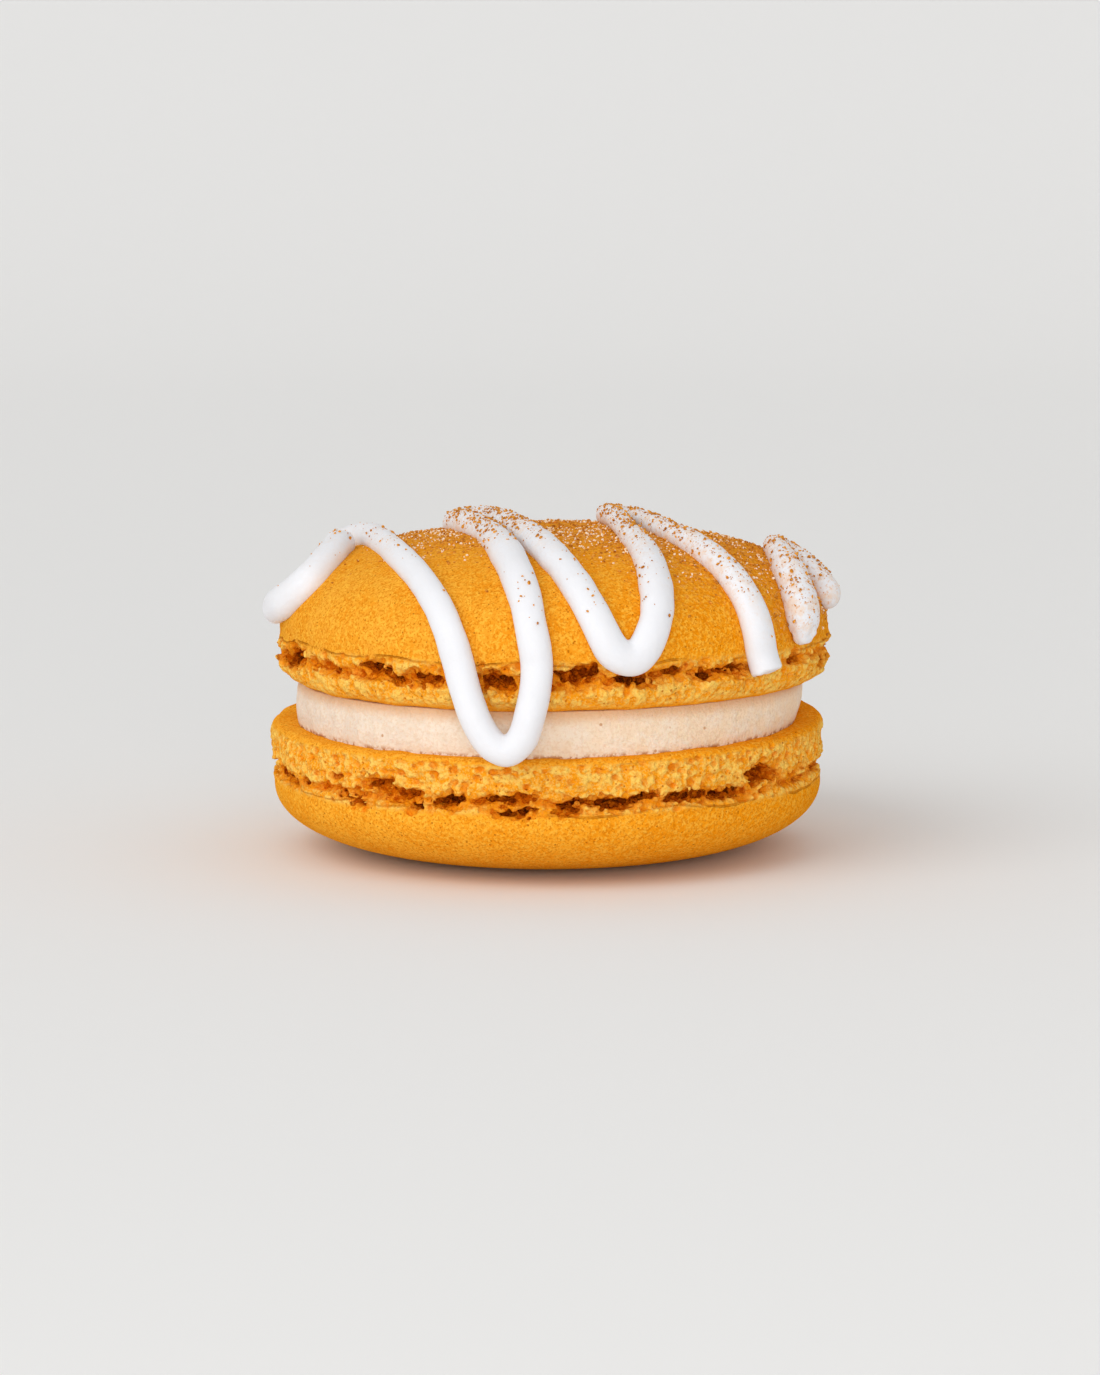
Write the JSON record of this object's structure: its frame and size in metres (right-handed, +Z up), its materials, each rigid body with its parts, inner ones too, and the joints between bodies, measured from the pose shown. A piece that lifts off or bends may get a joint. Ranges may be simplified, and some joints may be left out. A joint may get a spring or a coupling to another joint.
{
  "type": "french macaron",
  "caption": "Filled almond macaron with ruffled feet, a layer of pale cream and a zigzag of piped white icing dusted with cinnamon.",
  "frame": {"origin": "centre of the small flat spot under the lower shell that the macaron rests on", "axes": "+Z up through both shells; -Y is the front, where the icing hangs over the edge; +X is to the right seen from the front"},
  "size_m": [0.0522, 0.0538, 0.0308],
  "materials": {
    "shell": "matte baked almond crust",
    "filling": "smooth satin cream",
    "icing": "satin set icing",
    "spice": "matte ground cinnamon",
    "sugar": "matte fine sugar"
  },
  "bodies": {
    "root": {"lower_shell": "shell", "filling": "filling", "upper_shell": "shell"}
  },
  "joints": []
}
